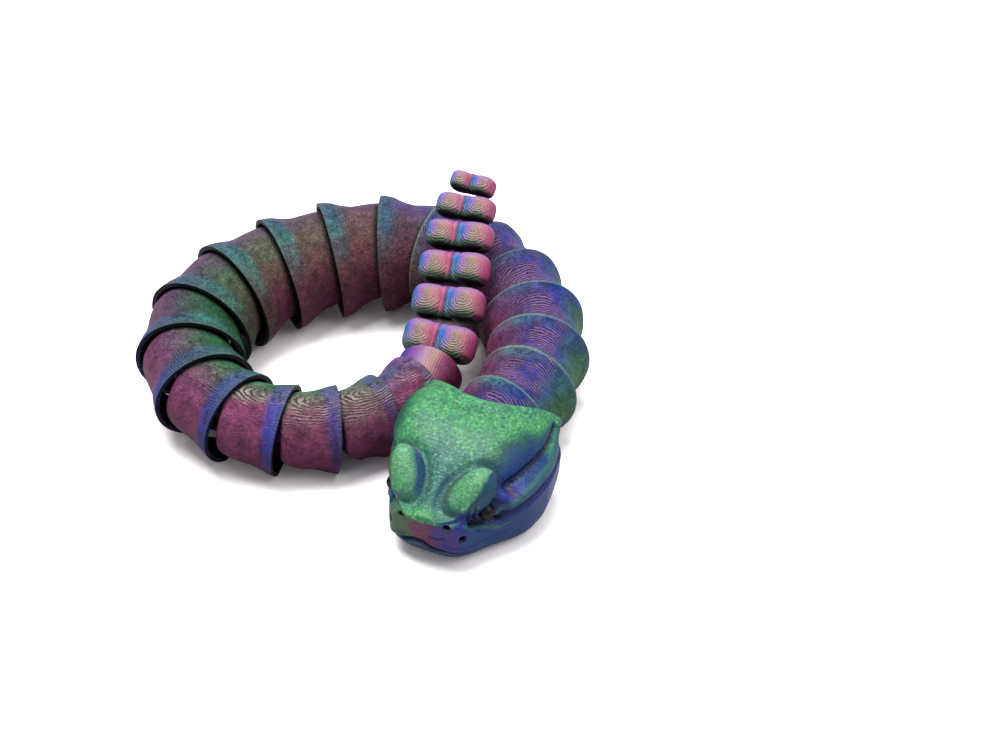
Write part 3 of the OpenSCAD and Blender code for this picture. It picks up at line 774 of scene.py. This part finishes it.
for side, label in ((1, "right"), (-1, "left")):
    bpy.ops.mesh.primitive_uv_sphere_add(segments=48, ring_count=32, radius=EYE_RADIUS * MM)
    ball = bpy.context.object
    ball.name = "eye_" + label
    ball.location = Vector(head_frame(EYE[None] * (1, side, 1))[0] * MM)
    for f in ball.data.polygons:
        f.use_smooth = True
    ball.data.materials.append(eye_skin)
    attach(ball, "head")


# Rattle: each button's two pillowed lobes and the fillet between them
FIRST_WIDTH, LAST_WIDTH, WIDTH_LOSS = 21.4, 13.6, 0.33
FIRST_DEPTH, LAST_DEPTH = 12.8, 8.8
LOBE_AROUND, LOBE_ROWS, LOBE_OVERLAP = 128, 96, 0.15


def lobe_part(centre, half_sizes, axes):
    """A squarish closed pillow, flatter below, as points and faces along the button's axes."""
    around = full_turn(LOBE_AROUND)
    rows = []
    for p in full_turn(2 * LOBE_ROWS)[:LOBE_ROWS + 1] - math.pi / 2:
        x = power(np.cos(around), 0.6) * power(np.cos(p), 0.5)
        y = power(np.sin(around), 0.72) * power(np.cos(p), 0.85)
        z = np.sin(p) * (0.8 if p < 0 else 1)
        rows.append(np.stack([x, y, np.full(LOBE_AROUND, z)], 1) * half_sizes + centre)
    verts, faces = grid_mesh(rows)
    return verts @ axes, faces


def button_sizes(k):
    """Half width and half depth of button k."""
    share = k / (BUTTON_COUNT - 1)
    width = LAST_WIDTH if k == BUTTON_COUNT - 1 else FIRST_WIDTH * (1 - WIDTH_LOSS * share ** 2.8)
    return width / 2, (FIRST_DEPTH + (LAST_DEPTH - FIRST_DEPTH) * share ** 1.6) / 2


def button_material(k):
    n = Nodes("silk_button_%d" % (k + 1))
    start, along, length, up = button_place(k)
    across = np.cross(up, along)
    half, deep = button_sizes(k)
    spot = n.coord.outputs["Object"]
    p = n.vec("SCALE", n.vec("SUBTRACT", spot, tuple(start * MM)), 1 / MM)
    px, py, pz = (n.dot(p, tuple(v)) for v in (along, across, up))
    nx, ny, nz = (n.dot(n.coord.outputs["Normal"], tuple(v)) for v in (along, across, up))
    cloud = n.around(spot, 260, 2, 0.5)
    grain = n.around(spot, 1500, 2, 0.6)
    # across a lobe: sky blue on the left, then violet, gold and pink
    from_middle = n.math("ABSOLUTE", py)
    out = n.mul(n.sub(from_middle, half / 2), n.math("SIGN", py))
    side = n.add(n.mul(out, 0.95 / half), n.mul(cloud, 0.24))
    color = n.ramp(n.add(side, 0.5), [
        (0.04, lerp(HOT_PINK, ROSE, 0.25)), (0.22, lerp(HOT_PINK, GOLD, 0.3)),
        (0.36, lerp(GOLD, ROSE, 0.45)),
        (0.5, lerp(GOLD, MAUVE, 0.5)), (0.64, ORCHID), (0.8, SKY), (1.0, lerp(SKY, TEAL, 0.5)),
    ])
    front = n.sub(n.mul(cloud, 0.5), nx)
    color = n.mix(n.smooth(front, 0.25, 0.6), color, n.mix(n.smooth(ny, -0.3, -0.7), FERN, BERRY))
    # painted shade on the ends that face the piece before, down in the gap
    color = n.mix(n.smooth(front, 0.72, 0.95), color, DARK)
    color = n.mix(n.mul(n.smooth(n.add(nx, n.mul(cloud, 0.6)), 0.2, 0.7), 0.7), color, ORCHID)
    # rings round each lobe's lower half: layer lines painted as shade in each step and as highlight on each
    # tread
    sideways = n.mul(n.sub(from_middle, half / 2), 0.9)
    from_ring = n.size(n.join(n.sub(px, 0.56 * length), sideways, 0.0))
    line = layer_lines(n, from_ring, 0.66, n.around(spot, 420, 3, 0.6, 2.2))
    rings = n.mul(n.smooth(nz, 0.3, 0.6), n.smooth(side, -0.45, -0.22))
    lower = n.smooth(n.add(px, n.mul(cloud, 4.0)), 0.6 * length, 0.4 * length, 0.0, 1.0)
    rings_shade_and_highlight = n.mix(line, n.mix(0.75, color, n.mix(0.4, DARK, FERN)), n.mix(0.3, color, CREAM_HIGHLIGHT))
    color = n.mix(n.mul(rings, n.mul(lower, 0.8)), color, rings_shade_and_highlight)
    color = n.shade(color, n.scaled(grain, 0.9, 1.0))
    # painted shade next to the neighbours, in the crease between the lobes and underneath
    near_end = n.smooth(px, BUTTON_GAP / 2 - 0.1, 1.5, 0.25, 1.0)
    far_end = n.smooth(px, length - 0.2, length - 1.3, 0.45, 1.0)
    crease = n.smooth(from_middle, 0.1, 0.9, 0.5, 1.0)
    color = n.shade(color, n.mul(n.mul(near_end, far_end), crease))
    color = n.shade(color, n.smooth(pz, -0.4 * deep, 0.35 * deep, 0.35, 1.0))
    normal = n.bump(n.add(n.mul(grain, 0.6), n.mul(line, rings)), 0.45, 0.0003)
    return n.done(color, rough=0.42, normal=normal, spec=0.16)


for k in range(BUTTON_COUNT):
    start, along, length, up = button_place(k)
    axes = np.stack([along, np.cross(up, along), up])
    half, deep = button_sizes(k)
    long = (length - BUTTON_GAP) / 2
    middle_of_lobe, half_lobe = half / 2 - LOBE_OVERLAP, half / 2 + LOBE_OVERLAP
    lobes = [(middle_of_lobe, half_lobe, deep), (-middle_of_lobe, half_lobe, deep)]
    fillet = (0, half * 0.42, deep * 0.74)
    parts = []
    for middle, wide, tall in (*lobes, fillet):
        verts, faces = lobe_part(np.array([length / 2, middle, 0]), np.array([long, wide, tall]), axes)
        parts.append((verts + start, faces))
    skin = add_mesh("button_%d" % (k + 1), parts, button_material(k))
    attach(skin, button_name(k))
    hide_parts(button_name(k))


def cap_material():
    n = Nodes("silk_cap")
    spot = n.coord.outputs["Object"]
    (_, py, pz), (_, ny, nz) = n.own_frame(*hood_place(HOOD_COUNT)[:2])
    cloud = n.around(spot, 260, 2, 0.5)
    grain = n.around(spot, 1500, 2, 0.6)
    color = n.ramp(n.scaled(n.add(ny, n.mul(cloud, 0.4)), 0.5, 0.5), [
        (0.05, WINE), (0.2, ROSE), (0.34, lerp(GOLD, ROSE, 0.5)), (0.5, lerp(GOLD, LILAC, 0.6)),
        (0.66, LILAC), (0.85, INDIGO), (1.0, SKY),
    ])
    # layer lines on upward faces: painted shade in each step and painted highlight on each tread
    line = layer_lines(n, py, 0.7, n.around(spot, 420, 2, 0.5, 1.0))
    color = n.shade(color, n.scaled(n.mul(n.sub(line, 0.5), n.smooth(nz, 0.5, 0.8)), 0.4, 1.0))
    color = n.shade(color, n.scaled(grain, 0.9, 1.0))
    # painted shade on the inside of the cap
    outward = n.add(n.mul(ny, py), n.mul(nz, n.sub(pz, CAP_AXIS_Z)))
    color = n.shade(color, n.smooth(outward, -2.0, 0.5, 0.1, 1.0))
    return n.done(color, rough=0.42, normal=n.bump(grain, 0.5, 0.0003), spec=0.16)


o = frame["nodes"]["tail_cap"]
o.data.materials.clear()
o.data.materials.append(cap_material())


# Floor, light and camera
def floor_material():
    """White paper: the camera sees it brighter than the object does."""
    n = Nodes("floor_white")
    tint = n.noise(n.coord.outputs["Object"], 3, 2)
    seen = n.tree.nodes.new("ShaderNodeLightPath").outputs["Is Camera Ray"]
    white = n.mix(tint, (1.22, 1.18, 1.2), (1.23, 1.19, 1.21))
    d = n.tree.nodes.new("ShaderNodeBsdfDiffuse")
    n.put(d.inputs["Color"], n.mix(seen, (0.5, 0.48, 0.5), white))
    o = n.tree.nodes.new("ShaderNodeOutputMaterial")
    n.tree.links.new(d.outputs[0], o.inputs[0])
    return n.mat


bpy.ops.mesh.primitive_plane_add(size=6, location=(0, 0, -0.00002))
floor = bpy.context.object
floor.name = "floor"
floor.data.materials.append(floor_material())

world = bpy.data.worlds.new("studio")
bpy.context.scene.world = world
world.use_nodes = True
world.node_tree.nodes["Background"].inputs[0].default_value = (1.0, 0.98, 0.99, 1)
world.node_tree.nodes["Background"].inputs[1].default_value = 0.5


def lamp(name, place, aim, size, power_w, color=(1, 1, 1)):
    data = bpy.data.lights.new(name, "AREA")
    data.shape, data.size, data.size_y = "RECTANGLE", size[0], size[1]
    data.energy, data.color = power_w, color
    o = bpy.data.objects.new(name, data)
    bpy.context.collection.objects.link(o)
    o.location = place
    o.rotation_euler = (Vector(aim) - Vector(place)).to_track_quat("-Z", "Y").to_euler()
    return o


lamp("key", (-0.12, 0.16, 0.85), (0, 0, 0), (0.6, 0.6), 12.0)
lamp("fill", (0.5, -0.2, 0.7), (0.02, 0, 0.01), (0.6, 0.6), 3.0)

# The photo's view: the lens in mm on a 36 mm sensor, the angle above the floor in degrees, the place
# looked at in mm and the distance from it in metres
CAMERA_LENS, CAMERA_ELEVATION, CAMERA_AIM, CAMERA_DISTANCE = 49.46, 38.6, (37.96, -4.71, 12.0), 0.38
cam_data = bpy.data.cameras.new("camera")
cam_data.sensor_width = 36
cam_data.lens = CAMERA_LENS
cam = bpy.data.objects.new("camera", cam_data)
bpy.context.collection.objects.link(cam)
elevation = math.radians(CAMERA_ELEVATION)
aim = Vector(CAMERA_AIM) * MM
cam.location = aim + Vector((0, -math.cos(elevation), math.sin(elevation))) * CAMERA_DISTANCE
cam.rotation_euler = (aim - cam.location).to_track_quat("-Z", "Y").to_euler()
bpy.context.scene.camera = cam
bpy.context.scene.view_settings.view_transform = "Standard"
